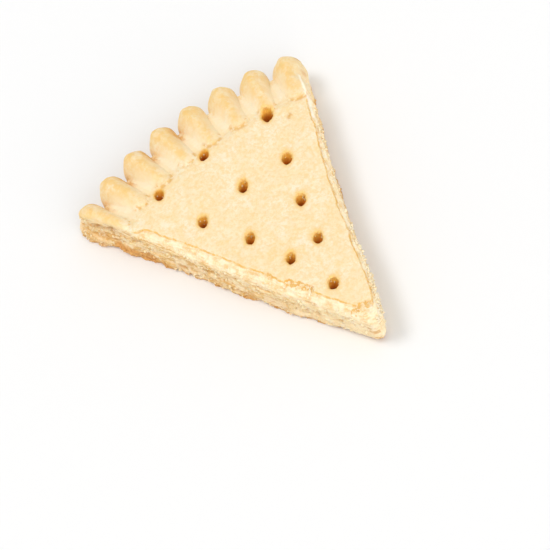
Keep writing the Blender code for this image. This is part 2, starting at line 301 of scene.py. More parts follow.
def fluted_round(x, y, z):
    radius = np.hypot(x, y)
    share, wobble, _ = flute_share(radius, np.arctan2(-x, y))
    corner = np.minimum(np.abs(np.arctan2(x, y)) / HALF_ANGLE, 1.0)
    radius = radius + FLATTENING * corner ** 2 * smooth(FLUTE_RANGE[0], ROUND_RADIUS, radius)
    at_corner = smooth(*np.radians(SPREAD_ANGLES), np.arctan2(-x, y))
    spread = SPREAD * at_corner * (1.0 - smooth(*SPREAD_HEIGHTS, z))
    radius = radius - spread * smooth(*FLUTE_RANGE, radius)
    out, up = rim_normal(radius, z)
    start = TONGUE_START + TONGUE_SHIFT * wobble
    rise = TONGUE_RISE * (1.0 + 0.3 * wobble) * smooth(start - 0.2, start + 0.9, radius)
    rise = rise * (1.0 - smooth(*TONGUE_FADE, radius))
    full = floor_depth(radius)
    for _ in range(2):
        pressed = (full + rise) * (1.0 - share) - rise
        out, up = rim_normal(radius + pressed * out, z + pressed * up)
        full = floor_depth(radius + pressed * out)
    pressed = (full + rise) * (1.0 - share) - rise
    return plain_round(radius + pressed * out, z + pressed * up)


def side_place(side, x, y):
    """How far out of its ray a place is, and how far along the ray."""
    sign = SIDES[side]
    out = -sign * x * math.cos(HALF_ANGLE) - y * math.sin(HALF_ANGLE)
    along = -sign * x * math.sin(HALF_ANGLE) + y * math.cos(HALF_ANGLE)
    return out, along


def side_outline(side, x, y):
    """Distance outside the snapped side's outline at the band's foot, and the place along it."""
    out, along = side_place(side, x, y)
    blend = smooth(*TIP_BLEND, along)
    setback = SETBACK_AT_TIP[side] + (SETBACK[side] - SETBACK_AT_TIP[side]) * blend
    setback = setback - RIM_FLARE[side] * smooth(*FLARE_RANGE, along)
    return out + setback, along


def nose_centre():
    left = SETBACK_AT_TIP["left"] + NOSE_RADIUS
    right = SETBACK_AT_TIP["right"] + NOSE_RADIUS
    across = (left - right) / (2.0 * math.cos(HALF_ANGLE))
    return across, (left + right) / (2.0 * math.sin(HALF_ANGLE))


def outline(x, y):
    """Distance outside the wedge's two sides and its rounded tip, and which side is nearer."""
    left, along_left = side_outline("left", x, y)
    right, along_right = side_outline("right", x, y)
    centre_x, centre_y = nose_centre()
    tip = np.hypot(x - centre_x, y - centre_y) - NOSE_RADIUS
    near_left = side_place("left", centre_x, centre_y)[1]
    near_right = side_place("right", centre_x, centre_y)[1]
    at_tip = (along_left < near_left) & (along_right < near_right)
    edge = np.where(at_tip, tip, np.maximum(left, right))
    on_left = left > right
    return edge, on_left, np.where(on_left, along_left, along_right)


def crumb_roughness(x, y, z, on_left, along):
    """How far the broken crumb stands out (+) or is torn away (-): in lumps, in thin layers, in grains."""
    seed = np.where(on_left, 0.0, 31.0)
    depth = x * 0.3 + y * 0.3
    lumps = 0.32 * noise(31, along / 6.5 + seed, depth / 5.0, z / 3.2)
    bent = z + 0.35 * noise(35, along / 4.0 + seed, depth / 3.0, z / 3.0)
    strata = 0.38 * noise(32, along / 3.0 + seed, depth / 1.6, bent / 0.62)
    cracks = np.maximum(1.0 - 5.0 * np.abs(noise(33, along / 2.6 + seed, depth, bent / 0.7)), 0.0)
    strata = strata - 0.20 * cracks
    grains = 0.20 * rough(34, x / 0.7, y / 0.7, z / 0.55, 2, 0.7)
    return lumps, strata, grains


def to_line(x, y, start, end):
    """Distance in plan from a short line."""
    dx, dy = end[0] - start[0], end[1] - start[1]
    share = np.clip(((x - start[0]) * dx + (y - start[1]) * dy) / (dx * dx + dy * dy), 0.0, 1.0)
    return np.hypot(x - start[0] - share * dx, y - start[1] - share * dy)


def chip_depth(x, y):
    """Above 0 where the skin has flaked off."""
    flat = np.zeros_like(x)
    ragged = 0.30 * rough(44, x / 0.9, y / 0.9, flat, 2, 0.8)
    inside = flat - FAR
    for start, end, half_width in CHIPS:
        inside = np.maximum(inside, half_width + ragged - to_line(x, y, start, end))
    return inside


def skin_gap(edge, on_left, along, x, y):
    """Distance outside the skin's torn edge."""
    width = np.where(on_left, SKIN_EDGE["left"], SKIN_EDGE["right"])
    width = width + window(along, (30.0, 50.0), (60.0, 72.0), 0.5) * on_left
    flat = np.zeros_like(x)
    tear = 0.22 * noise(41, along / 7.0, flat + on_left, flat)
    tear = tear + 0.14 * rough(42, along / 1.6, flat, flat, 2, 0.8)
    width = width * (1.0 - 0.75 * smooth(66.0, 76.0, along) * (1.0 - on_left))
    width = width * (1.0 - 1.2 * smooth(67.5, 71.5, along) * on_left)
    tip = SKIN_TIP - y + 0.5 * noise(43, x / 1.6, y / 1.6, flat) + 0.25 * noise(45, x / 0.7, y / 0.7, flat)
    return np.maximum(soft_max(edge + width + tear, tip, 2.5), chip_depth(x, y))


def holes(x, y, z):
    """Signed distance to the nearest docking hole, negative inside the hole."""
    nearest = np.full_like(x, FAR)
    for number, (distance, angle) in enumerate((d, a) for d, angles in HOLE_ROWS for a in angles):
        turned = math.radians(angle)
        middle_x, middle_y = -distance * math.sin(turned), distance * math.cos(turned)
        near = (np.abs(x - middle_x) < 4.0) & (np.abs(y - middle_y) < 4.0)
        if not near.any():
            continue
        dx, dy, h = x[near] - middle_x, y[near] - middle_y, z[near]
        factor = WIDE_FACTOR if (distance, angle) == WIDE_HOLE else 1.0
        wander = 0.16 * noise(51, dx / 1.5 + 7.0 * number, dy / 1.5, h / 1.6)
        wander = wander + 0.10 * noise(52, dx / 0.6 + 7.0 * number, dy / 0.6, h / 0.6)
        high = smooth(THICKNESS - 3.2, THICKNESS, h)
        radius = PIN_RADIUS * factor + 0.10 * high
        foot = THICKNESS - PIN_DEPTH + PIN_RADIUS
        far, aside = LEAN_X * dx + LEAN_Y * dy, LEAN_Y * dx - LEAN_X * dy
        leaned = np.hypot((far - MOUTH_LEAN * high) / (1.0 + MOUTH_STRETCH * high), aside)
        gap = np.hypot(leaned, np.minimum(h - foot, 0.0)) - radius - wander
        nearest[near] = np.minimum(nearest[near], gap)
    return nearest


def arc_end_recess(z, on_left, along):
    """0 to 1 in the hollow that runs above the base of the left cut, near the rim."""
    reach = window(along, (67.5, 70.5), (83.6, 85.4)) * on_left
    reach = reach * (0.4 + 0.6 * smooth(77.0, 80.0, along))
    middle = 7.2 - 0.37 * np.maximum(along - 77.5, 0.0)
    middle = middle + 0.5 * noise(67, along / 2.2, 0.0 * z, 0.0 * z)
    return reach * np.exp(-((z - middle) / 0.75) ** 2)


def wrapped_skin(z, on_left, along):
    """1 where the baked skin runs down over the left cut's upper edge, near the rim."""
    edge = 11.2 - 0.245 * (along - 70.5) + 0.4 * noise(68, along / 2.6, 0.0 * z, 0.0 * z)
    return smooth(-0.25, 0.25, z - edge) * smooth(69.5, 71.0, along) * on_left


def base_lumps(z, on_left, along):
    """How far the baked base spreads out under the left cut, near the rim."""
    flat = np.zeros_like(z)
    reach = window(along, (61.0, 66.0), (84.5, 87.0)) * on_left
    lumps = np.clip(0.5 + 0.7 * noise(66, along / 3.1, flat, z / 6.0), 0.0, 1.1)
    return BASE_SPREAD * reach * smooth(2.7, 1.5, z) * lumps


def upper_and_face(x, y, z):
    """The signed fields in mm of the biscuit's top with its bands, and of its snapped sides."""
    edge, on_left, along = outline(x, y)
    gap = skin_gap(edge, on_left, along, x, y)
    lumps, strata, grains = crumb_roughness(x, y, z, on_left, along)
    flat = np.zeros_like(x)

    top = fluted_round(x, y, z - top_unevenness(x, y) * smooth(4.0, 8.0, z))
    under_skin = fluted_round(x, y, z + SKIN_STEP)
    band = np.clip(-edge / BAND_WIDTH, 0.0, 2.0)
    foot = BAND_FOOT + 0.40 * noise(64, along / 4.5, flat + on_left, flat)
    band_top = foot + (THICKNESS - SKIN_STEP - foot) * (1.0 - (1.0 - np.minimum(band, 1.0)) ** 1.35)
    streaks = 0.16 * noise(61, along / 2.4, edge / 0.8, flat) + 0.35 * grains
    streaks = streaks + 0.13 * rough(65, x / 1.2, y / 1.2, z / 1.2, 2, 0.7)
    slope = 0.75 * (z - band_top - streaks)
    skin = np.maximum(top, gap)
    body = np.maximum(np.where(band < 1.0, slope, -FAR), under_skin)
    upper = np.minimum(skin, body)

    across = np.clip(z / BAND_FOOT, 0.0, 1.0)
    hollow = WAIST * np.sin(math.pi * across)
    low_share = np.maximum(1.0 - z / UNDERCUT_HEIGHT, 0.0)
    hollow = hollow + TIP_UNDERCUT * low_share ** 1.5 * (1.0 - smooth(*UNDERCUT_RANGE, along))
    fade = smooth(0.0, 0.2, 1.0 - across) * smooth(9.0, 18.0, along) * 0.75 + 0.25
    chipped = 0.45 * smooth(1.4, 0.0, z) * (0.4 + noise(62, along / 1.7, flat, on_left + flat))
    inset = FACE_INSET * smooth(0.0, 0.5, 1.0 - across)
    calm = 1.0 - 0.8 * smooth(77.0, 80.5, along) * (1.0 - on_left)
    face = edge + (hollow + inset + np.maximum(chipped, 0.0) - fade * (lumps + strata + grains)) * calm
    face = face + RECESS_DEPTH * arc_end_recess(z, on_left, along) - base_lumps(z, on_left, along)
    set_back = 0.3 * smooth(73.0, 77.0, along) * on_left
    face = face + set_back * (1.0 - wrapped_skin(z, on_left, along)) * smooth(4.0, 6.0, z)
    ear_undercut = EAR_UNDERCUT * smooth(78.0, 81.5, along) * smooth(7.0, 2.5, z)
    knob = KNOB * np.exp(-((along - KNOB_PLACE[0]) / KNOB_PLACE[1]) ** 2)
    foot_step = FOOT_STEP * smooth(*FOOT_STEP_RANGE, along) * (1.0 - smooth(*FOOT_STEP_HEIGHTS, z))
    face = face + np.where(on_left, -foot_step, ear_undercut - knob)
    return upper, face


def biscuit(x, y, z):
    """The biscuit's signed field in mm."""
    upper, face = upper_and_face(x, y, z)
    out, along = side_place("right", x, y)
    at_ear = (EAR_ROUNDING - CORNER_ROUNDING) * smooth(75.5, 80.0, along) * smooth(-9.0, -6.0, out)
    solid = soft_max(upper, face, CORNER_ROUNDING + at_ear)
    flat = np.zeros_like(x)
    floor = -z + 0.12 * np.maximum(rough(63, x / 1.8, y / 1.8, flat, 2) - 0.25, 0.0)
    solid = soft_max(solid, floor, FLOOR_ROUNDING)
    return soft_max(solid, -holes(x, y, z), MOUTH)


# --- wrapping a mesh round it ---

SETTLE_ROUNDS = 2
SLOPE_STEP = 0.04               # mm between the two places that a slope is read from
LEAST_SLOPE = 0.3
MOST_SLIDE = 0.15               # mm in one round


def grid_axes(low, high, step):
    return [np.arange(a - 2 * step, b + 2 * step, step, dtype=np.float32) for a, b in zip(low, high)]


def in_chunks(function, x, y, z, size=400000):
    parts = [function(x[i:i + size], y[i:i + size], z[i:i + size]) for i in range(0, len(x), size)]
    return np.concatenate(parts)


def filled_grid(low, high):
    """The field on a grid: worked out near the surface, and only in or out elsewhere."""
    step = VOXEL * COARSE
    axes = grid_axes(low, high, step)
    shape = tuple(len(axis) for axis in axes)
    x, y, z = (part.ravel() for part in np.meshgrid(*axes, indexing="ij"))
    field = in_chunks(biscuit, x, y, z).reshape(shape)
    fine_axes = [axis[0] + VOXEL * (np.arange(len(axis) * COARSE, dtype=np.float32) - 0.5 * (COARSE - 1))
                 for axis in axes]
    for axis in range(3):
        field = np.repeat(field, COARSE, axis=axis)
    near = np.abs(field) < BAND
    field = np.where(field < 0.0, -BAND, BAND).astype(np.float32)
    i, j, k = np.nonzero(near)
    field[near] = in_chunks(biscuit, fine_axes[0][i], fine_axes[1][j], fine_axes[2][k])
    return without_touching(field), fine_axes


def without_touching(field):
    """The field with its checkerboard places filled, so that the surface never touches itself."""
    inside = field < 0.0
    while True:
        filled = inside.copy()
        for first, second in ((0, 1), (0, 2), (1, 2)):
            corners = []
            for a, b in ((0, 0), (1, 0), (1, 1), (0, 1)):
                part = [slice(None)] * 3
                part[first] = slice(a, field.shape[first] - 1 + a)
                part[second] = slice(b, field.shape[second] - 1 + b)
                corners.append(tuple(part))
            c = [inside[part] for part in corners]
            crossed = (c[0] == c[2]) & (c[1] == c[3]) & (c[0] != c[1])
            for part in corners:
                filled[part] |= crossed
        if (filled == inside).all():
            return np.where(inside & (field >= 0.0), -JUST_INSIDE, field)
        inside = filled


def largest_part(vertices, quads):
    """The mesh without loose specks and without the bubbles under its surface."""
    label = np.arange(len(vertices))
    a, b = quads.ravel(), np.roll(quads, -1, axis=1).ravel()
    while True:
        low = np.minimum(label[a], label[b])
        merged = label.copy()
        np.minimum.at(merged, label[a], low)
        np.minimum.at(merged, label[b], low)
        merged = merged[merged]
        if (merged == label).all():
            break
        label = merged
    kept = label == np.bincount(label).argmax()
    number = np.cumsum(kept) - 1
    return vertices[kept], number[quads[kept[quads[:, 0]]]]


def surface_nets(field, axes):
    """One vertex in each cell that the surface crosses, and a quad for each grid edge that crosses it."""
    offsets = [(i, j, k) for i in (0, 1) for j in (0, 1) for k in (0, 1)]
    nx, ny, nz = field.shape
    corner = {o: field[o[0]:nx - 1 + o[0], o[1]:ny - 1 + o[1], o[2]:nz - 1 + o[2]] for o in offsets}
    count = sum((corner[o] < 0.0).astype(np.int8) for o in offsets)
    mixed = (count > 0) & (count < 8)
    ids = np.full(mixed.shape, -1, np.int64)
    ids[mixed] = np.arange(mixed.sum())
    cell = np.stack(np.nonzero(mixed), 1)
    values = {o: corner[o][mixed] for o in offsets}
    total = np.zeros((len(cell), 3))
    crossings = np.zeros(len(cell))
    for axis in range(3):
        for start in offsets:
            if start[axis]:
                continue
            end = tuple(v + (n == axis) for n, v in enumerate(start))
            a, b = values[start], values[end]
            crosses = (a < 0.0) != (b < 0.0)
            share = np.where(crosses, a / np.where(crosses, a - b, 1.0), 0.0)
            point = np.array(start, float) + share[:, None] * (np.arange(3) == axis)
            total += np.where(crosses[:, None], point, 0.0)
            crossings += crosses
    vertices = (cell + total / crossings[:, None]) * VOXEL + np.array([axis[0] for axis in axes])
    quads = []
    for axis in range(3):
        b_axis, c_axis = (axis + 1) % 3, (axis + 2) % 3
        low = [slice(1, n - 1) for n in field.shape]
        low[axis] = slice(0, field.shape[axis] - 1)
        high = list(low)
        high[axis] = slice(1, field.shape[axis])
        starts, ends = field[tuple(low)] < 0.0, field[tuple(high)] < 0.0
        crossed = np.stack(np.nonzero(starts != ends), 1)
        outward = starts[tuple(crossed.T)]
        place = crossed + np.array([0 if n == axis else 1 for n in range(3)])
        ring = []
        for db, dc in ((-1, -1), (0, -1), (0, 0), (-1, 0)):
            shifted = place.copy()
            shifted[:, b_axis] += db
            shifted[:, c_axis] += dc
            ring.append(ids[tuple(shifted.T)])
        ring = np.stack(ring, 1)
        quads.append(np.where(outward[:, None], ring, ring[:, ::-1]))
    return vertices, np.concatenate(quads)


def settle(points):
    """Slide the vertices onto the surface itself."""
    for _ in range(SETTLE_ROUNDS):
        x, y, z = (points[:, n].astype(np.float32) for n in range(3))
        here = in_chunks(biscuit, x, y, z)
        steps = [[SLOPE_STEP * (n == axis) for n in range(3)] for axis in range(3)]
        slope = np.stack([in_chunks(biscuit, x + dx, y + dy, z + dz) for dx, dy, dz in steps], 1)
        slope = (slope - here[:, None]) / SLOPE_STEP
        size = np.maximum((slope ** 2).sum(1), LEAST_SLOPE)
        move = np.clip(here / size, -MOST_SLIDE, MOST_SLIDE)
        points = points - slope * move[:, None]
    return points


def mesh_from(name, vertices, faces):
    mesh = bpy.data.meshes.new(name)
    mesh.vertices.add(len(vertices))
    mesh.vertices.foreach_set("co", vertices.astype(np.float32).ravel())
    corners = faces.shape[1]
    mesh.loops.add(faces.size)
    mesh.loops.foreach_set("vertex_index", faces.astype(np.int32).ravel())
    mesh.polygons.add(len(faces))
    mesh.polygons.foreach_set("loop_start", np.arange(0, faces.size, corners, dtype=np.int32))
    mesh.update(calc_edges=True)
    mesh.validate()
    return mesh


def thin(obj):
    """Simplify the flat places of the object's mesh, down to the triangles that it may have."""
    triangles = 2 * len(obj.data.polygons)
    if triangles > MOST_TRIANGLES:
        modifier = obj.modifiers.new("thin", "DECIMATE")
        modifier.ratio = MOST_TRIANGLES / triangles
        modifier.use_collapse_triangulate = True
        graph = bpy.context.evaluated_depsgraph_get()
        mesh = bpy.data.meshes.new_from_object(obj.evaluated_get(graph))
        obj.modifiers.clear()
        obj.data = mesh


def points_of(mesh):
    flat = np.zeros(len(mesh.vertices) * 3, np.float32)
    mesh.vertices.foreach_get("co", flat)
    return flat.reshape(-1, 3)


def side_marks(x, y, z):
    """Marks of the snapped sides: the bare crumb, the depth of its pores for their painted shade, the baked
    base, and the painted shade of the hollow above it.
    """
    edge, on_left, along = outline(x, y)
    gap = skin_gap(edge, on_left, along, x, y)
    lumps, strata, grains = crumb_roughness(x, y, z, on_left, along)
    ear = smooth(72.5, 75.5, along) * (1.0 - on_left)
    bare = 1.0 - np.maximum(ear, wrapped_skin(z, on_left, along))
    on_side = smooth(-0.65, -0.2, upper_and_face(x, y, z)[1])
    broken = np.maximum(on_side * smooth(10.2, 9.6, z), smooth(-0.05, 0.12, gap) * (z > 7.5))
    level = z + 0.5 * noise(71, along / 2.5, 0.0 * z + on_left, z / 1.5)
    level = level - 2.0 * smooth(62.0, 70.0, along) * on_left
    thick_base = window(along, (62.0, 69.0), (77.5, 80.0)) * on_left
    crust_height = 0.7 + 1.7 * thick_base + 0.8 * smooth(-4.0, -6.0, edge)
    crust_place = z + 0.5 * noise(72, x / 1.6, y / 1.6, z / 1.6)
    return {
        "gap": gap,
        "broken": broken * bare,
        "face": on_side * smooth(9.6, 8.2, level) * bare,
        # how deep the crumb is torn away, read for the painted shade in its pores
        "pore_shade": strata + grains + 0.5 * lumps,
        "ear": ear,
        "crust": smooth(crust_height + 0.5, crust_height - 0.5, crust_place),
        # where painted shade goes, in the hollow above the base
        "recess_painted_shade": arc_end_recess(z, on_left, along) * (edge > -4.0),
        "height": z,
        "along": along,
    }


def flute_marks(x, y, z, broken, ear):
    """Marks of the rim: its ridges, the floury floors, the flanks, browned and partly painted shade, the
    painted shade of the creases, and the tongues' edges, tinted and partly painted shade.
    """
    radius = np.hypot(x, y)
    share, wobble, side = flute_share(radius, np.arctan2(-x, y))
    across = side * 2.0 * math.pi * radius / FLUTES
    skin = 1.0 - broken
    # A flank near the notch: partly browner crust, partly painted shade on the side away from the light.
    flank_toast_and_shade = smooth(-0.16, -0.36, side) * smooth(78.0, 82.0, radius) * smooth(4.0, 6.5, z)
    flank_toast_and_shade = np.maximum(flank_toast_and_shade, 0.7 * smooth(0.36, 0.46, side) * smooth(80.5, 83.0, radius))
    flour = window(radius, (72.0, 76.0), (80.5, 83.0), 1.0 - share)
    # Painted shade in the crease where a tongue's right side rises from the floor.
    crease_painted_shade = np.exp(-(share / 0.3) ** 2) * smooth(0.05, -0.1, side) * smooth(72.5, 74.0, radius)
    start = TONGUE_START + TONGUE_SHIFT * wobble
    round_end = np.hypot(np.maximum(start + 2.1 - radius, 0.0), across)
    # The crescent at a tongue's rounded end: partly a warmer tint, partly painted shade of the small step
    # there.
    crescent = np.exp(-((round_end - 2.1) / 0.45) ** 2) * (1.0 - smooth(start + 1.6, start + 3.2, radius))
    return {
        "flute": share * smooth(72.0, 76.0, radius) * skin,
        "floor_flour": flour * skin * smooth(7.0, 8.5, z),
        "flank_toast_and_shade": flank_toast_and_shade * skin * (1.0 - ear),
        "crease_painted_shade": crease_painted_shade * (np.abs(across) < 3.4) * skin,
        "tongue_edge_tint_and_shade": crescent * (radius > 70.0) * skin,
    }


def top_marks(x, y, z, crumbs):
    """Marks of single places: holes, chips, the slit, and the last flute's torn edge, pale and partly a
    painted highlight, and brown spots.
    """
    hole = holes(x, y, z)
    slit = smooth(0.2, 0.0, to_line(x, y, SLIT[0], SLIT[1]) - SLIT[2])
    for speck_x, speck_y, size in SPECKS:
        slit = np.maximum(slit, 0.6 * smooth(size, 0.0, np.hypot(x - speck_x, y - speck_y)))
    torn_edge_and_highlight = np.minimum(to_line(x, y, *PALE_LINE[:2]), to_line(x, y, *PALE_LINE[1:]))
    torn_edge_and_highlight = torn_edge_and_highlight + 0.08 * noise(69, x / 1.1, y / 1.1, 0.0 * x)
    toasted = np.zeros_like(x)
    for spot_x, spot_y, size in TOASTED:
        toasted = np.maximum(toasted, smooth(size, 0.2 * size, np.hypot(x - spot_x, y - spot_y)))
    return {
        "hole": smooth(0.34, 0.0, hole) * (GRAIN_TINT if crumbs else 1.0),
        "hole_halo": smooth(1.0, 0.1, hole) * (z > 10.0),
        "chip": smooth(-0.1, 0.15, chip_depth(x, y)) * (z > 9.0),
        "slit": slit * (z > 9.0),
        "pale_line": smooth(0.42, 0.14, torn_edge_and_highlight) * (z > 9.2) * (not crumbs),
        "toasted": toasted * smooth(6.0, 8.0, z),
        "crumb": np.full(len(x), float(crumbs)),
    }


def surface_marks(mesh, points, crumbs=False):
    """Stores what the material needs to know at each vertex."""
    x, y, z = (points[:, n].astype(np.float32) for n in range(3))
    marks = side_marks(x, y, z)
    marks.update(flute_marks(x, y, z, marks["broken"], marks["ear"]))
    marks.update(top_marks(x, y, z, crumbs))
    for name, values in marks.items():
        layer = mesh.attributes.new(name, "FLOAT", "POINT")
        layer.data.foreach_set("value", values.astype(np.float32))


# --- materials ---

COLOURS = {
    # The skin, from its palest to its warmest
    "skin_pale": (245, 233, 208),
    "skin": (242, 224, 188),
    "skin_broad": (243, 221, 178),
    "skin_speckle": (240, 210, 152),
    "flute_gold": (239, 201, 131),
    "flour": (249, 234, 204),
    "hole_halo": (238, 196, 118),
    # The crumb of the band, and of the snapped face below it, with painted shade low on the face, away from
    # the tip and in the pores
    "band_cream": (255, 241, 212),
    "band": (249, 222, 170),
    "band_layer": (230, 188, 122),
    "face": (251, 229, 184),
    "face_layer": (222, 176, 106),
    "face_grain": (238, 196, 130),
    "face_low_painted_shade": (214, 168, 104),
    "face_near_tip_painted_light": (252, 234, 196),
    "crumb_grain": (226, 188, 130),
    "crumb_patch": (255, 243, 216),
    "pore_shade": (212, 156, 84),
    "loose_crumb": (254, 236, 202),
    # Edges and single places; painted shade under the lifted skin, in the creases, on the flanks and at the
    # tongues' ends, and a painted highlight on the torn edge
    "chip": (230, 184, 110),
    "skin_line_tint_and_shade": (232, 180, 88),
    "torn_edge_and_highlight": (255, 246, 228),
    "tongue_edge_tint_and_shade": (222, 172, 92),
    "crease_painted_shade": (244, 206, 140),
    "flank_brown_and_shade": (220, 162, 80),
    "slit": (216, 156, 74),
    "toasted": (214, 152, 78),
    # The holes from their mouths down, darker and more orange deeper in as painted shade and a painted glow
    # of light bounced inside, the painted shade of the hollow at the left end, and the baked base
    "hole_mouth": (250, 222, 150),
    "hole_upper_painted_glow": (240, 188, 84),
    "hole_deep_painted_shade_and_glow": (212, 126, 42),
    "hole_grain": (206, 124, 44),
    "recess_painted_shade": (192, 138, 74),
    "crust": (222, 168, 100),
    "crust_dark": (200, 138, 70),
}


def srgb(levels):
    """A colour from 0-255 screen levels."""
    linear = [((v / 255.0 + 0.055) / 1.055) ** 2.4 if v > 10 else v / 255.0 / 12.92 for v in levels]
    return (*linear, 1.0)


class Nodes:
    """Short ways to add and join nodes of one material.  Sizes are in mm."""

    def __init__(self, name):
        self.material = bpy.data.materials.new(name)
        self.material.use_nodes = True
        self.tree = self.material.node_tree
        self.shader = self.tree.nodes["Principled BSDF"]
        coordinates = self.tree.nodes.new("ShaderNodeTexCoord")
        scaled = self.tree.nodes.new("ShaderNodeVectorMath")
        scaled.operation = "SCALE"
        scaled.inputs["Scale"].default_value = 1.0 / MM
        self.tree.links.new(coordinates.outputs["Object"], scaled.inputs[0])
        self.place = scaled.outputs[0]

    def put(self, value, socket):
        """Links a socket, or sets it to a number or to one of the named colours."""
        if isinstance(value, bpy.types.NodeSocket):
            self.tree.links.new(value, socket)
        elif isinstance(value, str):
            socket.default_value = srgb(COLOURS[value])
        else:
            socket.default_value = value

    def mark(self, name):
        node = self.tree.nodes.new("ShaderNodeAttribute")
        node.attribute_name = name
        return node.outputs["Fac"]

    def noise(self, size, detail, roughness, seed=0.0, place=None):
        """Noise with lumps of the given size."""
        node = self.tree.nodes.new("ShaderNodeTexNoise")
        node.noise_dimensions = "4D"
        node.inputs["Scale"].default_value = 1.0 / size
        node.inputs["Detail"].default_value = detail
        node.inputs["Roughness"].default_value = roughness
        node.inputs["W"].default_value = seed
        self.tree.links.new(self.place if place is None else place, node.inputs["Vector"])
        return node.outputs["Fac"]

    def layers(self, length, height, seed):
        """Noise drawn out along the snapped side, in thin layers."""
        joined = self.tree.nodes.new("ShaderNodeCombineXYZ")
        for mark, size, socket in zip(("along", "height", "gap"), (length, height, height), joined.inputs):
            self.tree.links.new(self.math("DIVIDE", self.mark(mark), size), socket)
        return self.noise(1.0, 3.0, 0.6, seed, joined.outputs[0])

    def math(self, operation, a, b=0.0):
        node = self.tree.nodes.new("ShaderNodeMath")
        node.operation = operation
        self.put(a, node.inputs[0])
        self.put(b, node.inputs[1])
        return node.outputs[0]

    def times(self, a, b):
        return self.math("MULTIPLY", a, b)

    def between(self, value, low, high, to_low=0.0, to_high=1.0):
        """Maps low..high to to_low..to_high, smoothly and clamped."""
        node = self.tree.nodes.new("ShaderNodeMapRange")
        node.interpolation_type = "SMOOTHSTEP"
        self.put(value, node.inputs["Value"])
        node.inputs["From Min"].default_value = low
        node.inputs["From Max"].default_value = high
        node.inputs["To Min"].default_value = to_low
        node.inputs["To Max"].default_value = to_high
        return node.outputs["Result"]

    def mix(self, share, a, b):
        """Colour a, with the given share of colour b."""
        node = self.tree.nodes.new("ShaderNodeMix")
        node.data_type = "RGBA"
        self.put(share, node.inputs["Factor"])
        self.put(a, node.inputs[6])
        self.put(b, node.inputs[7])
        return node.outputs[2]

    def bump(self, height, distance, strength, normal=None):
        node = self.tree.nodes.new("ShaderNodeBump")
        node.inputs["Distance"].default_value = distance * MM
        self.put(strength, node.inputs["Strength"])
        self.put(height, node.inputs["Height"])
        if normal is not None:
            self.tree.links.new(normal, node.inputs["Normal"])
        return node.outputs["Normal"]


def skin_colour(n):
    """Pale gold, mottled and speckled, warmer on the flutes and floury between them."""
    skin = n.mix(n.between(n.noise(2.6, 4.0, 0.65), 0.38, 0.62), "skin_pale", "skin")
    broad = n.between(n.noise(8.0, 3.0, 0.55, seed=41.0), 0.42, 0.60, 0.0, 0.5)
    skin = n.mix(broad, skin, "skin_broad")
    speckle = n.between(n.noise(0.75, 3.0, 0.7, seed=4.0), 0.38, 0.64)
    skin = n.mix(n.times(speckle, 0.74), skin, "skin_speckle")
    warm = n.between(n.noise(2.2, 3.0, 0.6, seed=7.0), 0.36, 0.64, 0.3, 1.0)
    skin = n.mix(n.times(n.mark("flute"), warm), skin, "flute_gold")
    skin = n.mix(n.times(n.mark("floor_flour"), 0.75), skin, "flour")
    return n.mix(n.times(n.mark("hole_halo"), 0.7), skin, "hole_halo")


def crumb_colour(n, face, fine, thin_layers):
    """Cream on the band, tan in thin layers on the snapped face, with painted shade low on the face, away
    from the tip and in its pores.
    """
    streak = n.between(thin_layers, 0.42, 0.60)
    band = n.mix(fine, "band_cream", "band")
    band = n.mix(n.times(streak, 0.6), band, "band_layer")
    torn = n.mix(streak, "face", "face_layer")
    torn = n.mix(n.times(fine, 0.4), torn, "face_grain")
    # Painted shade: the face darkens towards its foot, and is painted lighter towards the tip, where it
    # stands free.
    torn = n.mix(n.between(n.mark("height"), 5.5, 1.0, 0.0, 0.4), torn, "face_low_painted_shade")
    torn = n.mix(n.between(n.mark("along"), 44.0, 16.0, 0.0, 0.7), torn, "face_near_tip_painted_light")
    crumb = n.mix(face, band, torn)
    grain = n.between(n.noise(0.34, 2.0, 0.6, seed=15.0), 0.40, 0.60)
    crumb = n.mix(n.times(grain, 0.25), crumb, "crumb_grain")
    patch = n.between(n.noise(2.4, 2.0, 0.6, seed=17.0), 0.44, 0.60)
    crumb = n.mix(n.times(patch, n.between(face, 0.0, 1.0, 0.65, 0.42)), crumb, "crumb_patch")
    # Painted shade in the pores: the deeper the crumb is torn away, the darker.
    deep = n.times(n.between(n.mark("pore_shade"), -0.05, -0.5), n.between(face, 0.2, 0.9, 0.2, 1.0))
    crumb = n.mix(n.times(deep, 0.65), crumb, "pore_shade")
    loose = n.times(n.mark("crumb"), n.between(face, 0.0, 1.0, 0.85, 0.45))
    return n.mix(loose, crumb, "loose_crumb")


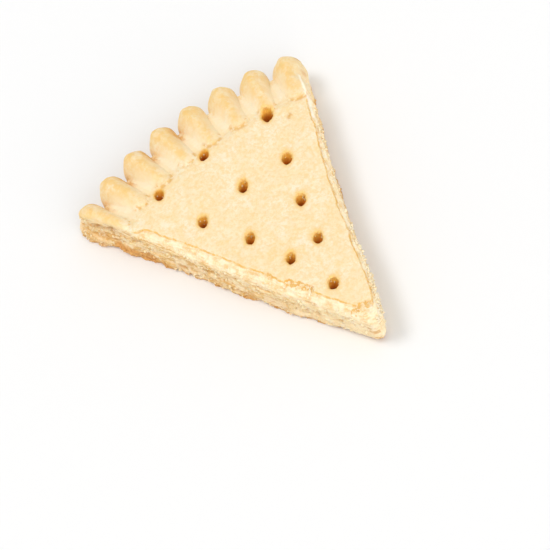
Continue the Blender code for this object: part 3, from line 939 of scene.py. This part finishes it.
def with_edges(n, colour):
    """The line where the skin has lifted off the band, an orange torn line partly painted shade under the
    lifted skin, the torn edge, partly a painted highlight, and the browned places of the rim, partly painted
    shade in the creases, on the flanks and at the tongues' ends.
    """
    flaked = n.between(n.noise(0.7, 2.0, 0.6, seed=25.0), 0.42, 0.56)
    colour = n.mix(n.times(n.mark("chip"), flaked), colour, "chip")
    # Painted shade under the lifted skin's edge, on an orange torn line.
    line = n.math("SUBTRACT", 1.0, n.between(n.math("ABSOLUTE", n.mark("gap")), 0.03, 0.26))
    gate = n.between(n.noise(1.6, 3.0, 0.7, seed=21.0), 0.42, 0.55, 0.3, 1.0)
    line = n.times(n.times(line, gate), n.between(n.mark("height"), 9.6, 10.1))
    line = n.times(line, n.math("SUBTRACT", 0.85, n.mark("ear")))
    colour = n.mix(n.math("MAXIMUM", line, 0.0), colour, "skin_line_tint_and_shade")
    # A painted highlight along the last flute's torn skin edge, on pale crumb.
    colour = n.mix(n.times(n.mark("pale_line"), 0.85), colour, "torn_edge_and_highlight")
    ragged = n.between(n.noise(1.3, 2.0, 0.6, seed=27.0), 0.42, 0.56)
    # Tongues' ends: partly tint, partly painted shade.
    colour = n.mix(n.times(n.times(n.mark("tongue_edge_tint_and_shade"), ragged), 0.75), colour, "tongue_edge_tint_and_shade")
    # Painted shade in the creases.
    colour = n.mix(n.times(n.mark("crease_painted_shade"), 0.2), colour, "crease_painted_shade")
    patchy = n.between(n.noise(1.5, 2.0, 0.6, seed=23.0), 0.35, 0.6, 0.35, 1.0)
    # Browned flanks, partly painted shade on their side away from the light.
    colour = n.mix(n.times(n.times(n.mark("flank_toast_and_shade"), patchy), 0.8), colour, "flank_brown_and_shade")
    colour = n.mix(n.times(n.mark("slit"), 0.8), colour, "slit")
    return n.mix(n.times(n.mark("toasted"), 0.55), colour, "toasted")


def with_holes_and_base(n, colour, hole, fine):
    # Inside a hole: painted shade and a painted orange glow of light bounced inside, darker with depth.
    inside = n.mix(n.between(n.mark("height"), 10.95, 9.9), "hole_mouth", "hole_upper_painted_glow")
    inside = n.mix(n.between(n.mark("height"), 10.1, 8.4), inside, "hole_deep_painted_shade_and_glow")
    inside = n.mix(n.times(fine, 0.45), inside, "hole_grain")
    colour = n.mix(hole, colour, inside)
    # Painted shade in the hollow above the base at the left end.
    colour = n.mix(n.times(n.mark("recess_painted_shade"), 0.65), colour, "recess_painted_shade")
    return n.mix(n.times(n.mark("crust"), 0.9), colour, n.mix(fine, "crust", "crust_dark"))


def shortbread():
    n = Nodes("baked_shortbread")
    broken, face, hole = n.mark("broken"), n.mark("face"), n.mark("hole")
    fine = n.between(n.noise(0.55, 3.0, 0.7, seed=13.0), 0.38, 0.64)
    thin_layers = n.layers(3.4, 0.52, 11.0)
    colour = n.mix(broken, skin_colour(n), crumb_colour(n, face, fine, thin_layers))
    colour = with_holes_and_base(n, with_edges(n, colour), hole, fine)
    n.put(colour, n.shader.inputs["Base Color"])

    normal = n.bump(thin_layers, 0.35, face)
    normal = n.bump(n.noise(0.9, 2.0, 0.55, seed=33.0), 0.12, n.between(broken, 0.0, 1.0, 0.7, 1.0), normal)
    normal = n.bump(n.noise(0.32, 3.0, 0.65, seed=31.0), 0.10, n.between(broken, 0.0, 1.0, 0.5, 1.0), normal)
    n.put(normal, n.shader.inputs["Normal"])
    n.put(n.between(hole, 0.2, 0.9, 0.78, 0.45), n.shader.inputs["Roughness"])
    n.shader.inputs["Specular IOR Level"].default_value = 0.08
    n.shader.inputs["Subsurface Weight"].default_value = 0.35
    n.shader.inputs["Subsurface Radius"].default_value = (1.0, 0.75, 0.5)
    n.shader.inputs["Subsurface Scale"].default_value = 0.7 * MM
    return n.material


def floor_material():
    material = bpy.data.materials.new("pale_floor")
    material.use_nodes = True
    shader = material.node_tree.nodes["Principled BSDF"]
    shader.inputs["Base Color"].default_value = (0.875, 0.885, 0.905, 1.0)
    shader.inputs["Roughness"].default_value = 0.6
    shader.inputs["Specular IOR Level"].default_value = 0.2
    return material


# --- the pieces ---

def round_centre():
    """Where the whole round's centre lies in the row frame, in metres."""
    middle = (CAD_LOW.x + CAD_HIGH.x) / 2.0
    return Vector((middle + CENTRE_ASIDE * MM, CAD_LOW.y - TIP_DISTANCE * MM, CAD_LOW.z))


def build_biscuit():
    centre = round_centre()
    low = [(a - b) / MM for a, b in zip(CAD_LOW, centre)]
    high = [(a - b) / MM for a, b in zip(CAD_HIGH, centre)]
    field, axes = filled_grid(low, high)
    vertices, quads = largest_part(*surface_nets(field, axes))
    obj = bpy.data.objects.new("wedge_crust_and_crumb", mesh_from("wedge", vertices, quads))
    bpy.context.scene.collection.objects.link(obj)
    thin(obj)
    points = settle(points_of(obj.data).astype(float))
    points = np.clip(points, np.array(low), np.array(high))
    surface_marks(obj.data, points)
    placed = points * MM + np.array(centre)
    obj.data.vertices.foreach_set("co", placed.astype(np.float32).ravel())
    obj.data.update()
    obj.data.shade_smooth()
    material = shortbread()
    obj.data.materials.append(material)
    crumbs = build_crumbs(obj, points, low, high, centre)
    crumbs.data.materials.append(material)
    return obj, crumbs


def crumb_places(mesh, points):
    """Vertices to set crumbs on: on the broken surfaces, more of them along the edges, and in the holes."""
    broken = np.zeros(len(points), np.float32)
    mesh.attributes["broken"].data.foreach_get("value", broken)
    normals = np.zeros(len(points) * 3, np.float32)
    mesh.vertices.foreach_get("normal", normals)
    normals = normals.reshape(-1, 3)
    x, y, z = (points[:, n] for n in range(3))
    _, on_left, along = outline(x, y)
    along_base = 1.6 * smooth(1.6, 0.6, z) * on_left
    near_tip = smooth(44.0, 14.0, along)
    under_band = 7.0 * (1.0 - on_left) * smooth(8.0, 8.8, z) * smooth(10.0, 9.2, z) * near_tip
    wanted = 0.25 + along_base + under_band
    wanted = wanted * (broken > 0.6) * (z > 0.5) * (normals[:, 2] > -0.3)
    random = np.random.default_rng(83)
    chosen = random.choice(len(points), size=CRUMBS, replace=False, p=wanted / wanted.sum())
    pits = (holes(x, y, z) < 0.15) * (z > 8.8) * (z < 10.5) * (normals[:, 0] + normals[:, 1] < -0.4)
    grains = random.choice(len(points), size=HOLE_GRAINS, replace=False, p=pits / pits.sum())
    chosen = np.concatenate([chosen, grains])
    return points[chosen], normals[chosen], random


def build_crumbs(biscuit_object, points, low, high, centre):
    """Loose crumbs: one mesh of small ragged lumps, each half sunk in the broken surface."""
    places, normals, random = crumb_places(biscuit_object.data, points)
    ball = bmesh.new()
    bmesh.ops.create_icosphere(ball, subdivisions=2, radius=1.0)
    shape = np.array([v.co[:] for v in ball.verts])
    faces = np.array([[v.index for v in face.verts] for face in ball.faces])
    ball.free()
    all_points, all_faces, anchors = [], [], []
    for number, (place, normal) in enumerate(zip(places, normals)):
        radius = random.uniform(*(CRUMB_SIZE if number < CRUMBS else GRAIN_SIZE))
        size = radius * np.array([1.0, random.uniform(*CRUMB_WIDTH), random.uniform(*CRUMB_HEIGHT)])
        at = shape * 1.3 + number * 3.7
        ragged = 1.0 + 0.45 * rough(85, at[:, 0], at[:, 1], at[:, 2], 2, 0.6)
        turn = np.array(Quaternion(random.normal(size=4)).normalized().to_matrix())
        lump = (shape * ragged[:, None] * size) @ turn.T + place + normal * size.min() * CRUMB_RAISE
        all_faces.append(faces + len(shape) * number)
        all_points.append(lump)
        anchors.append(np.repeat(place[None, :], len(shape), 0))
    vertices = np.clip(np.concatenate(all_points), np.array(low), np.array(high))
    mesh = mesh_from("crumbs_mesh", vertices * MM + np.array(centre), np.concatenate(all_faces))
    surface_marks(mesh, np.concatenate(anchors), crumbs=True)
    mesh.shade_smooth()
    obj = bpy.data.objects.new("clinging_crumbs", mesh)
    bpy.context.scene.collection.objects.link(obj)
    return obj


# --- floor, light and camera ---

FLOOR_HALF = 3.0                                    # m
LIGHT_COLOUR = (1.0, 0.985, 0.95)
KEY_DIRECTION, KEY_SOFTNESS, KEY_STRENGTH = (-0.34, 0.22, 0.91), 24.0, 0.95
FILL_DIRECTION, FILL_SOFTNESS, FILL_STRENGTH = (0.05, -0.88, 0.46), 60.0, 1.10
WORLD_COLOUR = (1.0, 0.99, 0.97, 1.0)
HORIZON_HEIGHTS = (0.05, 0.35)                      # the world dims from the horizon's strength
WORLD_STRENGTHS = (1.02, 0.69)                      # to the upper sky's between these heights


def add_floor():
    mesh = bpy.data.meshes.new("floor")
    corners = [(FLOOR_HALF * a, FLOOR_HALF * b, 0) for a, b in ((-1, -1), (1, -1), (1, 1), (-1, 1))]
    mesh.from_pydata(corners, [], [(0, 1, 2, 3)])
    floor = bpy.data.objects.new("floor", mesh)
    floor.location.z = CAD_LOW.z
    mesh.materials.append(floor_material())
    bpy.context.scene.collection.objects.link(floor)


def add_light(name, direction, softness, strength):
    """A distant soft light: the direction to it, how wide it looks in degrees, and its strength."""
    light = bpy.data.lights.new(name, "SUN")
    light.angle = math.radians(softness)
    light.energy = strength
    light.color = LIGHT_COLOUR
    obj = bpy.data.objects.new(name, light)
    obj.location = Vector(direction).normalized()
    obj.rotation_mode = "QUATERNION"
    obj.rotation_quaternion = Vector(direction).to_track_quat("Z", "Y")
    bpy.context.scene.collection.objects.link(obj)


def add_world():
    world = bpy.data.worlds.new("studio")
    world.use_nodes = True
    nodes, links = world.node_tree.nodes, world.node_tree.links
    background = nodes["Background"]
    background.inputs["Color"].default_value = WORLD_COLOUR
    direction = nodes.new("ShaderNodeTexCoord")
    parts = nodes.new("ShaderNodeSeparateXYZ")
    links.new(direction.outputs["Generated"], parts.inputs[0])
    brightness = nodes.new("ShaderNodeMapRange")
    sockets = ("From Min", "From Max", "To Min", "To Max")
    for socket, value in zip(sockets, HORIZON_HEIGHTS + WORLD_STRENGTHS):
        brightness.inputs[socket].default_value = value
    links.new(parts.outputs["Z"], brightness.inputs["Value"])
    links.new(brightness.outputs["Result"], background.inputs["Strength"])
    bpy.context.scene.world = world


AZIMUTH, ELEVATION, ROLL = -15.95, 52.75, 24.03     # degrees
LENS, SENSOR = 287.17, 36.0                         # mm
DISTANCE = 958.25 * MM
AIM = Vector((-7.38, 37.13, 5.5)) * MM              # from the round's centre


def add_camera():
    data = bpy.data.cameras.new("camera")
    data.lens = LENS
    data.sensor_width = SENSOR
    data.clip_start, data.clip_end = 0.05, 20.0
    camera = bpy.data.objects.new("camera", data)
    a, e = math.radians(AZIMUTH), math.radians(ELEVATION)
    back = Vector((math.sin(a) * math.cos(e), -math.cos(a) * math.cos(e), math.sin(e)))
    level = back.to_track_quat("Z", "Y")
    turned = level.to_matrix() @ Matrix.Rotation(math.radians(-ROLL), 3, "Z")
    camera.location = round_centre() + AIM + back * DISTANCE
    camera.rotation_mode = "QUATERNION"
    camera.rotation_quaternion = turned.to_quaternion()
    bpy.context.scene.collection.objects.link(camera)
    bpy.context.scene.camera = camera


wedge, crumbs = build_biscuit()
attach(crumbs, "root")
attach(wedge, "root")
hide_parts("shortbread_wedge")
add_floor()
add_light("key", KEY_DIRECTION, KEY_SOFTNESS, KEY_STRENGTH)
add_light("fill", FILL_DIRECTION, FILL_SOFTNESS, FILL_STRENGTH)
add_world()
add_camera()
bpy.context.scene.view_settings.view_transform = "Standard"
bpy.context.scene.view_settings.look = "None"
